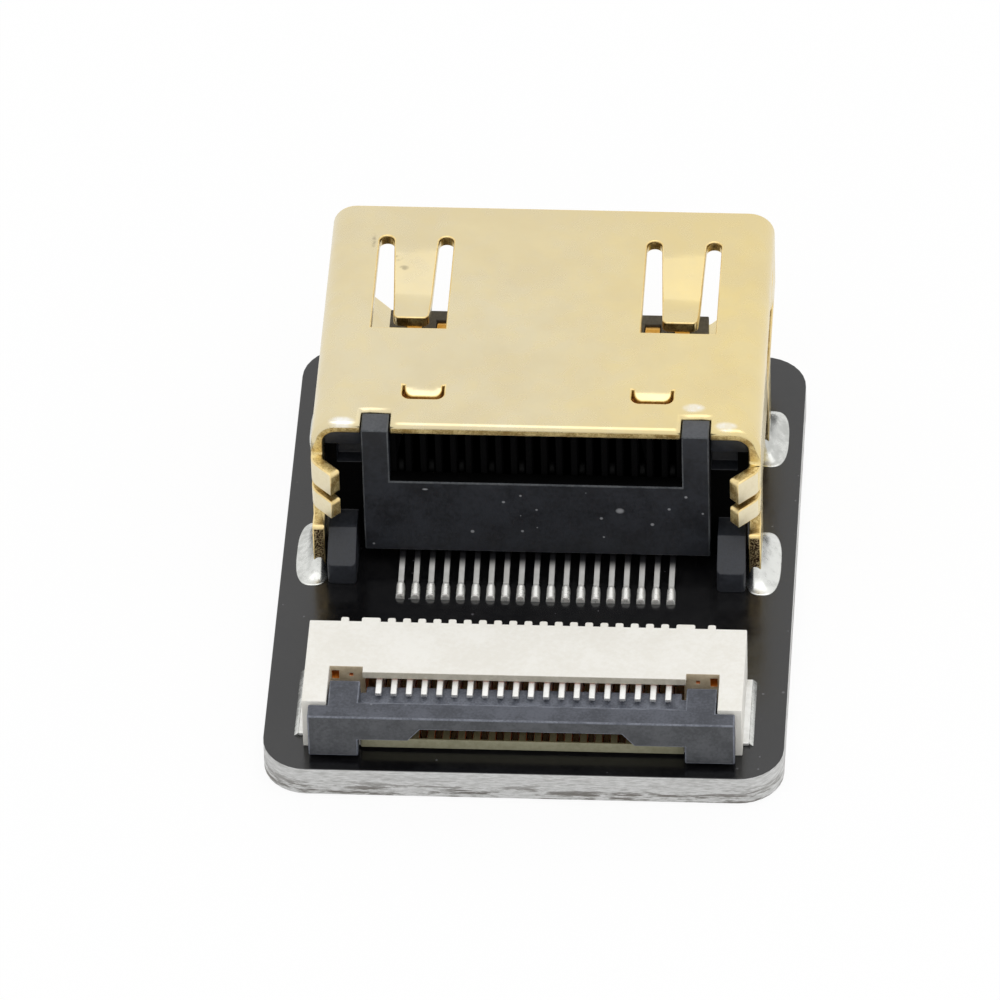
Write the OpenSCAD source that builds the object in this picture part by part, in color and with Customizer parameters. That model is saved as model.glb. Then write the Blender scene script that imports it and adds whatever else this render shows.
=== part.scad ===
// Video socket adapter: a gold-plated type-A socket and a flat-cable connector on a small board.
// Millimetres, +Z up. The origin is the centre of the board's underside, +Y is the way the mouth faces.

/* [Circuit board] */
// Width of the board
board_w = 17.1; // [16.8:0.1:20]
// Length of the board
board_l = 21.1; // [20.8:0.1:26]
// Thickness of the board
board_t = 1.1; // [0.9:0.1:1.6]
// Corner radius of the board
board_r = 1.5; // [0.5:0.1:2.5]

/* [Socket shell] */
// Width of the opening
opening_w = 14.1; // [13.9:0.05:14.4]
// Height of the opening
opening_h = 4.6; // [4.5:0.05:4.9]
// Thickness of the sheet
shell_t = 0.4; // [0.3:0.05:0.5]
// Length of the shell from its rear edge to its mouth
shell_depth = 11.2; // [10.8:0.1:11.6]
// How far the mouth stands past the board's edge
shell_overhang = 0.43; // [0:0.01:1]
// Room between the shell and the board
shell_lift = 0.6; // [0.4:0.05:0.9]
// Inside radius of the top bends
top_bend_r = 0.45; // [0.2:0.05:0.7]
// Inside radius of the bends at the slanted corners
low_bend_r = 0.4; // [0.2:0.05:0.6]
// Width of the opening's floor, corner to corner
opening_floor_w = 10.4; // [9.8:0.1:11]
// Height of the slanted lower corners
slant_h = 1.9; // [1.6:0.05:2.1]

/* [Spring fingers] */
// Distance of the top and bottom fingers from the middle
finger_x = 4.5; // [3.8:0.1:4.8]
// Width of the window round a finger
finger_window_w = 2.5; // [2.2:0.05:2.8]
// Length of the window round a finger
finger_window_l = 4.7; // [4.2:0.05:5]
// Distance from the mouth to the window
finger_setback = 1.55; // [1.2:0.05:2]
// Width of a finger at its root
finger_root_w = 1.5; // [1.2:0.05:1.7]
// Width of a finger at its tip
finger_tip_w = 1.2; // [0.8:0.05:1.4]
// Length of a finger
finger_reach = 3.7; // [3.2:0.05:4]
// How far a finger dips into the opening
finger_dip = 0.6; // [0.3:0.05:0.8]
// Width of the window round a side finger
side_window_w = 1.7; // [1.4:0.05:1.8]
// Width of a side finger at its root
side_root_w = 0.95; // [0.7:0.05:1]
// Width of a side finger at its tip
side_tip_w = 0.8; // [0.5:0.05:0.9]

/* [Lances, notches, tabs and legs] */
// Distance of the lances from the middle
lance_x = 3.8; // [3:0.1:4]
// Width of a lance
lance_w = 1.4; // [1:0.05:1.6]
// Length of a lance's slot along the shell
lance_d = 0.7; // [0.6:0.05:0.75]
// Length of a lance's tongue
lance_l = 0.4; // [0.3:0.05:0.45]
// Distance from the shell's rear edge to the middle of a lance
lance_setin = 1.7; // [1.5:0.01:1.85]
// How far a lance is pressed in
lance_dip = 0.18; // [0.1:0.02:0.3]
// Depth of the notches in the rear edge
notch_d = 0.72; // [0.7:0.01:0.9]
// Height of an upper bent tab
upper_tab_h = 0.95; // [0.7:0.05:1]
// Height of a lower bent tab
lower_tab_h = 0.75; // [0.5:0.05:0.8]
// Room between the two tabs of a side
tab_gap = 0.26; // [0.15:0.01:0.35]
// Distance from the shell's top to the upper tab
tab_drop = 1.37; // [1.2:0.01:1.4]
// Length of a tab from the corner of its bend
tab_l = 0.95; // [0.8:0.05:1.2]
// Angle of a tab's bend
tab_angle = 45; // [35:1:50]
// Distance between the rear and the front legs
leg_pitch = 6.3; // [5.6:0.1:6.6]
// Width of a rear leg
rear_leg_w = 1.7; // [1.4:0.1:1.8]
// Width of a front leg
front_leg_w = 1.4; // [1.2:0.1:1.8]
// How far a rear leg stands behind the shell's rear edge
leg_back = 0.63; // [0.4:0.01:0.8]
// Height of a rear leg's shoulder above the board
leg_shoulder_h = 2; // [1.7:0.1:2.3]
// How far the legs go into the board
leg_depth = 0.8; // [0.5:0.05:0.85]

/* [Insulator and spacer] */
// Width of the tongue
tongue_w = 10.7; // [10.2:0.1:11]
// Thickness of the tongue
tongue_t = 1.2; // [1:0.05:1.3]
// Distance from the mouth to the tongue's tip
tongue_setback = 2.9; // [2.9:0.05:3.4]
// Height of the tongue's underside above the opening's floor
tongue_lift = 1.75; // [1.65:0.05:1.9]
// Distance from the shell's rear edge to the front of the base
base_reach = 2.15; // [2.1:0.05:2.4]
// Distance from the middle to the middle of a rib
rib_x = 5.3; // [5.2:0.05:5.4]
// Width of a rib
rib_w = 0.9; // [0.7:0.05:1]
// Depth of a rib
rib_d = 0.9; // [0.86:0.01:1]
// How far the ribs stay below the shell's top
rib_drop = 0.08; // [0.02:0.01:0.2]
// Thickness of the spacer's wall
wall_t = 0.52; // [0.4:0.02:0.54]
// Height of the spacer's lower edge above the board
wall_lift = 0.69; // [0.5:0.01:0.8]
// Height of the spacer's wall above the board
wall_top = 3.7; // [3:0.1:3.8]
// Width of a foot
foot_w = 0.95; // [0.7:0.05:1]
// Height of a foot where it meets the base
foot_h = 1.65; // [1.4:0.05:1.9]
// Height of a foot's nose
foot_nose_h = 0.8; // [0.7:0.05:1.1]
// How far a foot stands behind the spacer
foot_reach = 1; // [0.8:0.05:1.2]

/* [Socket contacts] */
// Distance between neighbouring tails
pitch = 0.5; // [0.48:0.01:0.5]
// Thickness of the contact strip
contact_t = 0.2; // [0.15:0.01:0.22]
// Width of a contact in the comb and at its tail
contact_w = 0.2; // [0.15:0.01:0.22]
// Width of a contact on the tongue
blade_w = 0.5; // [0.4:0.02:0.56]
// How far the blades stand proud of the tongue
blade_proud = 0.03; // [0:0.01:0.06]
// Distance from the tongue's tip to the blades
blade_setback = 0.6; // [0.4:0.05:0.8]
// Bend radius of a contact's middle line
contact_bend = 0.22; // [0.2:0.01:0.28]
// How far the tails reach behind the spacer
tail_reach = 1.65; // [1.4:0.05:1.9]
// Height of a tail's middle line where it leaves the drop
tail_rise = 0.55; // [0.4:0.05:0.55]
// Length of a tail that lies flat on the board
tail_flat = 0.35; // [0.2:0.05:0.5]

/* [Flat-cable connector] */
// Width of the housing
flex_w = 14.4; // [14.2:0.1:14.8]
// Height of the housing
flex_h = 2; // [1.95:0.05:2.3]
// Distance from the board's edge to the closed slider
flex_setback = 0.5; // [0.1:0.05:0.9]
// Length of the connector with its slider closed
flex_d = 4.57; // [4.5:0.01:4.9]
// Thickness of the roof
roof_t = 0.28; // [0.2:0.02:0.3]
// Distance from the slider's front to the roof's edge
roof_setback = 2.08; // [2:0.02:2.2]
// Distance from the slider's front to the floor's edge
floor_setback = 0.52; // [0.4:0.02:0.56]
// Height of the cable floor above the board
floor_h = 0.5; // [0.46:0.02:0.54]
// Width of the cable slot
cable_w = 10.45; // [10.4:0.01:10.5]
// Width of the housing's side arms
arm_w = 0.8; // [0.76:0.02:0.9]
// Width of the notch that takes a slider's lug
lug_notch_w = 1.1; // [1:0.02:1.12]
// Distance from the slider's front to the back of that notch
lug_notch_setback = 2.35; // [2.3:0.02:2.45]
// How far the comb teeth stand out at the rear
tooth_d = 0.25; // [0.15:0.01:0.35]
// Width of a comb tooth
tooth_w = 0.26; // [0.2:0.01:0.26]

/* [Slider] */
// Travel of the slider from closed to open
slider_travel = 1; // [0.7:0.05:1]
// Height of the slider's ears and bar above the board
slider_h = 1.88; // [1.8:0.02:1.9]
// Room between the board and the ears
ear_lift = 0.17; // [0.1:0.01:0.25]
// Depth of the ears from front to back
ear_d = 0.59; // [0.5:0.01:0.65]
// How far the ears stay inside the housing's width
ear_inset = 0.22; // [0.1:0.02:0.3]
// Height of the bar's lower edge beside the ears
bar_low = 0.88; // [0.84:0.02:0.94]
// Height of the bar's lower edge in the middle
bar_high = 1.38; // [1.2:0.02:1.4]
// Width of the higher stretch of the bar's lower edge
bar_high_w = 6.6; // [5:0.1:8]
// Thickness of the slider's wedge
wedge_t = 0.4; // [0.3:0.02:0.44]
// How far the wedge reaches behind the bar's front
wedge_reach = 2.09; // [2:0.01:2.3]
// How far the lugs reach behind the bar's front
lug_reach = 1.8; // [1.7:0.02:1.9]

/* [Flat-cable contacts and hold-downs] */
// Thickness of a fork contact
fork_w = 0.2; // [0.15:0.01:0.22]
// Height of a fork contact's upper arm
fork_arm_t = 0.24; // [0.16:0.02:0.26]
// Distance from the slider's front to the upper arms' tips
fork_setback = 1.42; // [1.4:0.02:1.5]
// How far the tails reach behind the housing
fork_tail = 0.7; // [0.5:0.05:1.2]
// Thickness of the hold-downs
nail_t = 0.15; // [0.1:0.01:0.2]
// Length of a hold-down's foot
nail_l = 3.1; // [2.4:0.1:3.2]
// How far a hold-down's foot stands out of the housing
nail_out = 0.2; // [0.15:0.05:0.4]

/* [Solder] */
// Room for solder round a leg in its slot
slot_gap = 0.15; // [0.1:0.05:0.25]
// Width of solder outside a leg
mound_out = 0.65; // [0.5:0.05:0.7]
// Length of solder past each end of a leg
mound_end = 0.75; // [0.5:0.05:0.85]
// Height of a solder mound
mound_h = 0.6; // [0.3:0.05:0.7]
// Width of solder beside a tail
toe_side = 0.07; // [0.04:0.01:0.09]
// Length of solder past a tail's end
toe_end = 0.1; // [0.05:0.01:0.2]
// Length of a tail that is wetted with solder
toe_l = 0.4; // [0.3:0.05:0.5]
// Height of the solder on a tail
toe_h = 0.1; // [0.05:0.01:0.14]

/* [Hidden] */
$fn = 32;
// Clearance between pieces that seat in each other
fit = 0.03;
// Clearance between the slider and the housing
slider_fit = 0.05;
// Overrun of cuts past the faces they open
cut = 1;
arc_steps = 8;
contact_count = 19;
fork_count = 20;

// Heights and stations of the socket
zt = board_t;
in_lo = zt + shell_lift + shell_t;
in_hi = in_lo + opening_h;
top_z = in_hi + shell_t;
floor_z = in_lo - shell_t;
half_in = opening_w / 2;
half_out = half_in + shell_t;
slant_z = in_lo + slant_h;
mouth_y = board_l / 2 + shell_overhang;
rear_y = mouth_y - shell_depth;
window_y = mouth_y - finger_setback;
slant_angle = atan2(slant_h, half_in - opening_floor_w / 2);
slant_normal = [sin(slant_angle), -cos(slant_angle)];
slant_reach = slant_normal * [half_in, slant_z];
top_centre = [half_in - top_bend_r, in_hi - top_bend_r];
shoulder_centre = [half_in - low_bend_r,
    (slant_reach - low_bend_r - slant_normal[0] * (half_in - low_bend_r)) / slant_normal[1]];
floor_centre = [(slant_reach - low_bend_r - slant_normal[1] * (in_lo + low_bend_r)) / slant_normal[0],
    in_lo + low_bend_r];
leg_x = half_in + shell_t / 2;
rear_leg_y = rear_y - leg_back + rear_leg_w / 2;
front_leg_y = rear_leg_y + leg_pitch;
leg_relief = 0.25;
leg_taper = 0.25;
leg_lap = 0.1;
leg_top = shoulder_centre[1] + leg_lap;
tab_bend_r = 0.5;
tab_root = 0.6;
tab_run = 0.04;
finger_bend = 0.5;
finger_apex = 0.72;
finger_curl = 0.75;
finger_corner = 0.25;
finger_bend_r = 1.8;
lance_slit = 0.08;
lance_corner = 0.28;

// Stations of the insulator, from the rear edge of the shell
base_rear = rear_y + notch_d - 2 * fit;
base_front = rear_y + base_reach;
spacer_rear = base_rear - rib_d;
floor_lap = 0.4;
floor_rear = base_front - floor_lap;
tongue_lo = in_lo + tongue_lift;
tongue_hi = tongue_lo + tongue_t;
tongue_tip = mouth_y - tongue_setback;
tip_chamfer = 0.1;
comb_w = 0.2;
comb_low = 1;
comb_top_drop = 0.15;
rib_out = rib_x + rib_w / 2;
rib_in = rib_x - rib_w / 2;
shoulder_drop = 0.75;
shoulder_back = 0.36;
pocket_h = 1.1;
pocket_d = 0.5;
foot_inset = 0.1;
foot_out = half_in - foot_inset;
support_w = 1.7;
foot_corner = 0.15;

// Stations of the contacts
strip_gap = 0.06;
strip_y = base_rear - strip_gap - contact_t / 2;
blade_tip = tongue_tip - blade_setback;
blade_root = 0.3;
blade_rear = base_front - blade_root;
blade_chamfer = 0.3;
tail_end = spacer_rear - tail_reach;
upper_z = tongue_hi + blade_proud - contact_t / 2;
lower_z = tongue_lo - blade_proud + contact_t / 2;

// Stations of the flat-cable connector, from the closed slider's front
slider_y = -board_l / 2 + flex_setback;
flex_rear = slider_y + flex_d;
roof_y = slider_y + roof_setback;
roof_z = zt + flex_h - roof_t;
floor_y = slider_y + floor_setback;
cable_z = zt + floor_h;
flex_lift = 0.1;
arm_y = slider_y + ear_d + fit;
arm_in = flex_w / 2 - arm_w;
notch_in = arm_in - lug_notch_w;
notch_y = slider_y + lug_notch_setback;
cavity_d = 1.1;
cavity_y = notch_y + cavity_d;
floor_lip = 0.08;
tooth_low = 0.6;
end_tooth_w = 0.62;
end_tooth_x = fork_count / 2 * pitch + (end_tooth_w - tooth_w) / 2;
outer_tooth_step = 0.86;
outer_tooth_x = end_tooth_x + outer_tooth_step;
mark_w = 0.22;
mark_h = 0.34;
mark_d = 0.3;
mark_inset = 0.08;
dot_w = 0.11;
dot_inset = 0.39;
catch_l = 0.3;
catch_d = 0.2;
catch_h = 0.5;
catch_rise = 0.8;
catch_z = zt + catch_rise;
catch_setin = 0.15;
catch_y = slider_y + lug_reach - catch_setin - catch_l;
bar_d = 0.75;
ramp_d = 0.5;
bar_slope = 0.4;
wedge_hi = roof_z - 2 * fit - fork_arm_t - slider_fit;
lug_low = 0.62;
fork_top = roof_z - fit;
fork_web_inset = 0.12;
fork_web_rear = flex_rear - fork_web_inset;
fork_web_gap = 0.15;
fork_web_front = cavity_y + fork_web_gap;
fork_rise = 0.2;
fork_low = zt + fork_rise;
fork_low_t = 0.2;
fork_bump_h = 0.2;
fork_bump_setback = 1.4;
fork_bump_y = slider_y + fork_bump_setback;
fork_tip_room = 0.2;
fork_low_tip = floor_y + floor_lip + fork_tip_room;
fork_tail_t = 0.2;
fork_tail_end = flex_rear + fork_tail;
nail_inset = 0.2;
nail_in = flex_w / 2 - nail_inset;
nail_shift = 0.05;
nail_y = (arm_y + flex_rear) / 2 + nail_shift;
nail_blade_l = 1.6;
nail_blade_h = 1;
nail_outer = flex_w / 2 + nail_out;

// A solder mound's hollow side, as shares of its half width and its height
mound_profile = [[1, 0], [1, 0.08], [0.86, 0.2], [0.7, 0.42], [0.58, 0.7], [0.5, 1]];

function pad2(i) = str(i < 10 ? "0" : "", i);
function contact_name(i) = str("contact_", pad2(i));
function fork_name(i) = str("flex_contact_", pad2(i));
function contact_x(i) = (i - (contact_count + 1) / 2) * pitch;
function fork_x(i) = (i - (fork_count + 1) / 2) * pitch;
function is_upper(i) = i % 2 == 1;

// Points on an arc about centre c
function arc(c, r, a0, a1) =
    [for (k = [0:arc_steps]) let (a = a0 + (a1 - a0) * k / arc_steps) c + r * [cos(a), sin(a)]];

function reversed(v) = [for (i = [len(v) - 1:-1:0]) v[i]];
function unit(v) = v / norm(v);
function left_of(v) = [-v[1], v[0]];
function turned(v, a) = [v[0] * cos(a) - v[1] * sin(a), v[0] * sin(a) + v[1] * cos(a)];

// One side of a bent strip: its middle line p moved sideways, with its corners made arcs of radius r
function strip_side(p, r, off) = concat(
    [p[0] + off * left_of(unit(p[1] - p[0]))],
    [for (i = [1:len(p) - 2])
        let (u = unit(p[i] - p[i - 1]), v = unit(p[i + 1] - p[i]),
            s = sign(u[0] * v[1] - u[1] * v[0]), a = acos(u * v),
            c = p[i] - u * r * tan(a / 2) + s * r * left_of(u))
        for (k = [0:arc_steps]) c + (r - s * off) * turned(-s * left_of(u), s * a * k / arc_steps)],
    [p[len(p) - 1] + off * left_of(unit(p[len(p) - 1] - p[len(p) - 2]))]);

// The outline of a bent strip of thickness t
function strip(p, r, t) = concat(strip_side(p, r, t / 2), reversed(strip_side(p, r, -t / 2)));

// Half of the socket's section, moved outwards by off: top bend, slanted corner, floor bend
function section_half(off) = concat(
    arc(top_centre, top_bend_r + off, 90, 0),
    arc(shoulder_centre, low_bend_r + off, 0, slant_angle - 90),
    arc(floor_centre, low_bend_r + off, slant_angle - 90, -90));

function section(off) = concat(section_half(off), [for (p = reversed(section_half(off))) [-p[0], p[1]]]);

// A box from one corner to the other
module span(lo, hi) {
    translate(lo) cube(hi - lo);
}

// A prism along Y of an outline given as (x, z)
module along_y(y0, y1) {
    translate([0, y1, 0]) rotate([90, 0, 0]) linear_extrude(y1 - y0) children();
}

// A prism along X, centred on x, of an outline given as (y, z)
module along_x(x, w) {
    translate([x - w / 2, 0, 0]) rotate([90, 0, 90]) linear_extrude(w) children();
}

module both_sides() {
    children();
    mirror([1, 0, 0]) children();
}

module circuit_board() {
    color("#1d1e1c")
    difference() {
        linear_extrude(board_t) board_outline();
        both_sides() {
            leg_slot(rear_leg_y, rear_leg_w);
            leg_slot(front_leg_y, front_leg_w);
        }
    }
}

module board_outline() {
    x = board_w / 2 - board_r;
    y = board_l / 2 - board_r;
    polygon(concat(arc([x, y], board_r, 90, 0), arc([x, -y], board_r, 0, -90),
        arc([-x, -y], board_r, -90, -180), arc([-x, y], board_r, 180, 90)));
}

// The plated slot that takes one leg
module leg_slot(y, w) {
    translate([leg_x, y, board_t / 2])
        cube([shell_t + 2 * slot_gap, w + 2 * slot_gap, board_t + cut], center = true);
}

module socket_shell() {
    color("#d8bd79") {
        difference() {
            along_y(rear_y, mouth_y) polygon(section(shell_t));
            along_y(rear_y - cut, mouth_y + cut) polygon(section(0));
            span([-half_out - cut, rear_y - cut, floor_z - cut], [half_out + cut, floor_rear, slant_z]);
            both_sides() {
                front_leg_window();
                at_top_finger() finger_window(finger_window_w, finger_root_w);
                at_floor_finger() finger_window(finger_window_w, finger_root_w);
                at_side_finger() finger_window(side_window_w, side_root_w);
                lance_slot(0);
                rib_notch();
            }
        }
        both_sides() {
            at_top_finger() finger(finger_window_w, finger_root_w, finger_tip_w);
            at_floor_finger() finger(finger_window_w, finger_root_w, finger_tip_w);
            at_side_finger() finger(side_window_w, side_root_w, side_tip_w);
            lance();
            tab(top_z - tab_drop, upper_tab_h);
            tab(top_z - tab_drop - upper_tab_h - tab_gap, lower_tab_h);
            leg_blades();
        }
    }
}

// A finger's own frame: origin on the outer face at the window's mouth end, Z out of the sheet
module at_top_finger() {
    translate([finger_x, window_y, top_z]) children();
}

module at_floor_finger() {
    translate([finger_x, window_y, floor_z]) rotate([0, 180, 0]) children();
}

module at_side_finger() {
    translate([half_out, window_y, (shoulder_centre[1] + top_centre[1]) / 2]) rotate([0, 90, 0]) children();
}

// The slots beside a finger end in half rounds at the root
module finger_window(w, root_w) {
    r = (w - root_w) / 4;
    translate([0, 0, -shell_t - cut]) linear_extrude(shell_t + 2 * cut) {
        translate([-w / 2, -finger_window_l]) square([w, finger_window_l - r]);
        for (s = [-1, 1]) translate([s * (w / 2 - r), -r]) circle(r);
    }
}

// A tapered strip that dips into the opening and curls up at its rounded tip
module finger(w, root_w, tip_w) {
    r = (w - root_w) / 4;
    mid = -shell_t / 2;
    line = [[0, mid], [-finger_bend, mid], [-finger_apex * finger_reach, mid - finger_dip],
        [-finger_reach, mid - finger_curl * finger_dip]];
    corner = [tip_w / 2 - finger_corner, finger_corner - finger_reach];
    intersection() {
        along_x(0, w) polygon(strip(line, finger_bend_r, shell_t));
        translate([0, 0, -finger_dip - 2 * shell_t - cut]) linear_extrude(finger_dip + 2 * shell_t + 2 * cut)
            polygon(concat([[-root_w / 2, -r], [-root_w / 2, 0], [root_w / 2, 0], [root_w / 2, -r]],
                arc(corner, finger_corner, 0, -90), arc([-corner[0], corner[1]], finger_corner, -90, -180)));
    }
}

// The straight drop of a front leg opens the slanted corner beside it
module front_leg_window() {
    w = front_leg_w + 2 * leg_relief;
    span([floor_centre[0], front_leg_y - w / 2, floor_z - cut],
        [half_out + cut, front_leg_y + w / 2, shoulder_centre[1]]);
}

// Outline of a lance: straight at the hinge, rounded at the free end
module lance_plan(half, tip, hinge) {
    low = tip + lance_corner;
    side = half - lance_corner;
    polygon(concat([[half, hinge], [-half, hinge]], arc([-side, low], lance_corner, 180, 270),
        arc([side, low], lance_corner, 270, 360)));
}

module lance_slot(gap) {
    translate([lance_x, rear_y + lance_setin, in_hi - lance_dip - gap])
        linear_extrude(shell_t + lance_dip + gap + cut)
            lance_plan(lance_w / 2 + gap, -lance_d / 2 - gap, lance_d / 2 + gap);
}

// A tongue of sheet, hinged towards the mouth and pressed in at its free end
module lance() {
    hinge = lance_d / 2;
    tip = hinge - lance_l;
    root = hinge + fit;
    translate([lance_x, rear_y + lance_setin, 0]) intersection() {
        along_x(0, lance_w) polygon([[root, top_z], [hinge, top_z], [tip, top_z - lance_dip],
            [tip, in_hi - lance_dip], [hinge, in_hi], [root, in_hi]]);
        translate([0, 0, in_hi - lance_dip - cut]) linear_extrude(shell_t + lance_dip + 2 * cut)
            lance_plan(lance_w / 2 - lance_slit, tip, root);
    }
}

module rib_notch() {
    span([rib_in - fit, rear_y - cut, in_hi - top_bend_r], [rib_out + fit, rear_y + notch_d, top_z + cut]);
}

// A tab of the side wall, bent inwards behind the insulator
module tab(top, h) {
    bend_y = rear_y - tab_run - tab_bend_r * tan(tab_angle / 2);
    end = [leg_x - tab_l * sin(tab_angle), bend_y - tab_l * cos(tab_angle)];
    line = [[leg_x, rear_y + tab_root], [leg_x, bend_y], end];
    translate([0, 0, top - h]) linear_extrude(h) polygon(strip(line, tab_bend_r, shell_t));
}

// The two legs of one side: straight drops of the side wall that narrow at their feet
module leg_blades() {
    low = zt - leg_depth;
    r0 = rear_leg_y - rear_leg_w / 2;
    r1 = rear_leg_y + rear_leg_w / 2;
    f0 = front_leg_y - front_leg_w / 2;
    f1 = front_leg_y + front_leg_w / 2;
    along_x(leg_x, shell_t) {
        polygon([[r0 + leg_taper, low], [r0, low + leg_taper], [r0, zt + leg_shoulder_h],
            [rear_y, zt + leg_shoulder_h], [rear_y, leg_top], [r1, leg_top],
            [r1, low + leg_taper], [r1 - leg_taper, low]]);
        polygon([[f0 + leg_taper, low], [f0, low + leg_taper], [f0, leg_top],
            [f1, leg_top], [f1, low + leg_taper], [f1 - leg_taper, low]]);
    }
}

module socket_insulator() {
    color("#26282c")
    difference() {
        union() {
            along_y(base_rear, base_front) polygon(section(-fit));
            along_x(0, tongue_w) polygon([[base_rear, tongue_lo], [tongue_tip - tip_chamfer, tongue_lo],
                [tongue_tip, tongue_lo + tip_chamfer], [tongue_tip, tongue_hi - tip_chamfer],
                [tongue_tip - tip_chamfer, tongue_hi], [base_rear, tongue_hi]]);
            comb();
            both_sides() {
                shoulder();
                foot();
                span([foot_out - support_w, base_rear, zt], [foot_out, floor_rear - fit, slant_z]);
            }
        }
        for (i = [1:contact_count]) contact_way(i);
        both_sides() {
            lance_slot(fit);
            span([rib_out + fit, base_rear - cut, in_hi - shoulder_drop - pocket_h],
                [half_in - shell_t, base_rear + pocket_d, in_hi - shoulder_drop]);
        }
    }
}

// Thin upright walls between the contacts, from the base to the spacer
module comb() {
    for (i = [0:contact_count]) {
        x = contact_x(i) + pitch / 2;
        span([x - comb_w / 2, spacer_rear + wall_t + fit, zt + comb_low],
            [x + comb_w / 2, base_rear + fit, in_hi - comb_top_drop]);
    }
}

// The block under the shell's rear corner, outside the ribs
module shoulder() {
    intersection() {
        along_y(base_rear - shoulder_back, base_rear + fit) polygon(section(-fit));
        span([rib_out + fit, base_rear - cut, in_hi - shoulder_drop], [half_in, base_rear + cut, in_hi]);
    }
}

// A foot beside the spacer, with a sloped back and an outer edge that is rounded off
module foot() {
    nose = spacer_rear - foot_reach;
    intersection() {
        along_x(foot_out - foot_w / 2, foot_w) polygon([[nose, zt], [base_rear + fit, zt],
            [base_rear + fit, zt + foot_h], [spacer_rear, zt + foot_h], [nose, zt + foot_nose_h]]);
        linear_extrude(zt + foot_h + cut) polygon(concat(
            arc([foot_out - foot_corner, nose + foot_corner], foot_corner, -90, 0),
            [[foot_out, base_rear + cut], [foot_out - foot_w, base_rear + cut]],
            arc([foot_out - foot_w + foot_corner, nose + foot_corner], foot_corner, -180, -90)));
    }
}

// The room that one contact takes in the base and in the tongue's face
module contact_way(i) {
    x = contact_x(i);
    z = is_upper(i) ? upper_z : lower_z;
    h = contact_t / 2 + fit;
    span([x - contact_w / 2 - fit, base_rear - cut, z - h], [x + contact_w / 2 + fit, blade_rear + fit, z + h]);
    span([x - blade_w / 2 - fit, blade_rear - fit, z - h], [x + blade_w / 2 + fit, blade_tip + fit, z + h]);
}

module tail_spacer() {
    color("#2b2e34") {
        span([-rib_in, spacer_rear, zt + wall_lift], [rib_in, spacer_rear + wall_t, zt + wall_top]);
        both_sides() span([rib_in, spacer_rear, zt + wall_lift], [rib_out, base_rear, top_z - rib_drop]);
    }
}

// One formed contact: a blade on the tongue, a drop behind the base and a tail that slopes to the board
module contact(i) {
    x = contact_x(i);
    z = is_upper(i) ? upper_z : lower_z;
    side = is_upper(i) ? 1 : -1;
    tail_z = zt + contact_t / 2;
    line = [[blade_rear, z], [strip_y, z], [strip_y, zt + tail_rise], [tail_end + tail_flat, tail_z],
        [tail_end, tail_z]];
    face = z + side * contact_t / 2;
    back = z - side * contact_t / 2;
    color("#d9d6cd") {
        along_x(x, contact_w) polygon(strip(line, contact_bend, contact_t));
        along_x(x, blade_w) polygon([[blade_rear, back], [blade_rear, face], [blade_tip - blade_chamfer, face],
            [blade_tip, z], [blade_tip, back]]);
    }
}

// Solder round a leg: a mound on the board and a fill in the slot
module leg_mound(y, w) {
    inner = foot_out + fit;
    outer = half_out + mound_out;
    r = (outer - inner) / 2;
    end = w / 2 + mound_end - r;
    half = [for (p = mound_profile) [p[0] * r, p[1] * mound_h]];
    translate([(inner + outer) / 2, y, zt]) {
        for (s = [-1, 1]) translate([0, s * end, 0]) rotate_extrude() polygon(concat([[0, 0]], half, [[0, mound_h]]));
        along_y(-end, end) polygon(concat(half, [for (p = reversed(half)) [-p[0], p[1]]]));
    }
    translate([leg_x - shell_t / 2 - slot_gap, y - w / 2 - slot_gap, 0])
        cube([shell_t + 2 * slot_gap, w + 2 * slot_gap, board_t]);
}

module leg_solder() {
    color("#c9cac6")
    both_sides() difference() {
        union() {
            leg_mound(rear_leg_y, rear_leg_w);
            leg_mound(front_leg_y, front_leg_w);
        }
        leg_blades();
    }
}

// Solder that wets a flat tail: a strip along each side and a slope past its end
module toe(x, end, way, w, t) {
    rear = end + way * toe_end;
    front = end - way * toe_l;
    difference() {
        along_x(x, w + 2 * toe_side)
            polygon([[rear, zt], [front, zt], [front, zt + toe_h], [end, zt + toe_h]]);
        along_x(x, w) polygon([[end, zt], [front - way * cut, zt], [front - way * cut, zt + t], [end, zt + t]]);
    }
}

module tail_solder() {
    color("#cfd0cc")
    for (i = [1:contact_count]) toe(contact_x(i), tail_end, -1, contact_w, contact_t);
}

module flex_housing() {
    color("#efece2")
    difference() {
        union() {
            span([-flex_w / 2, notch_y, zt + flex_lift], [flex_w / 2, flex_rear, zt + flex_h]);
            span([-notch_in, roof_y, roof_z], [notch_in, notch_y + fit, zt + flex_h]);
            span([-notch_in, floor_y, zt + flex_lift], [notch_in, notch_y + fit, cable_z]);
            both_sides() {
                span([arm_in, arm_y, zt], [flex_w / 2, flex_rear, zt + flex_h]);
                span([notch_in - fit, arm_y, zt + flex_lift], [arm_in + fit, notch_y + fit, cable_z]);
            }
            teeth();
        }
        span([-cable_w / 2, floor_y - cut, cable_z], [cable_w / 2, cavity_y, roof_z]);
        for (i = [1:fork_count]) fork_way(fork_x(i));
        both_sides() {
            catch_way();
            nail(slot_fit = fit);
            mark(arm_in - mark_w / 2 - mark_inset, mark_w, mark_h);
            mark(notch_in + dot_inset, dot_w, dot_w);
        }
    }
}

// The comb along the rear edge: teeth between the fork contacts, and broader ones at the ends
module teeth() {
    for (i = [1:fork_count - 1]) tooth(fork_x(i) + pitch / 2, tooth_w);
    both_sides() {
        tooth(end_tooth_x, end_tooth_w);
        tooth(outer_tooth_x, tooth_w);
    }
}

module tooth(x, w) {
    span([x - w / 2, flex_rear - fit, zt + tooth_low], [x + w / 2, flex_rear + tooth_d, zt + flex_h]);
}

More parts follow.
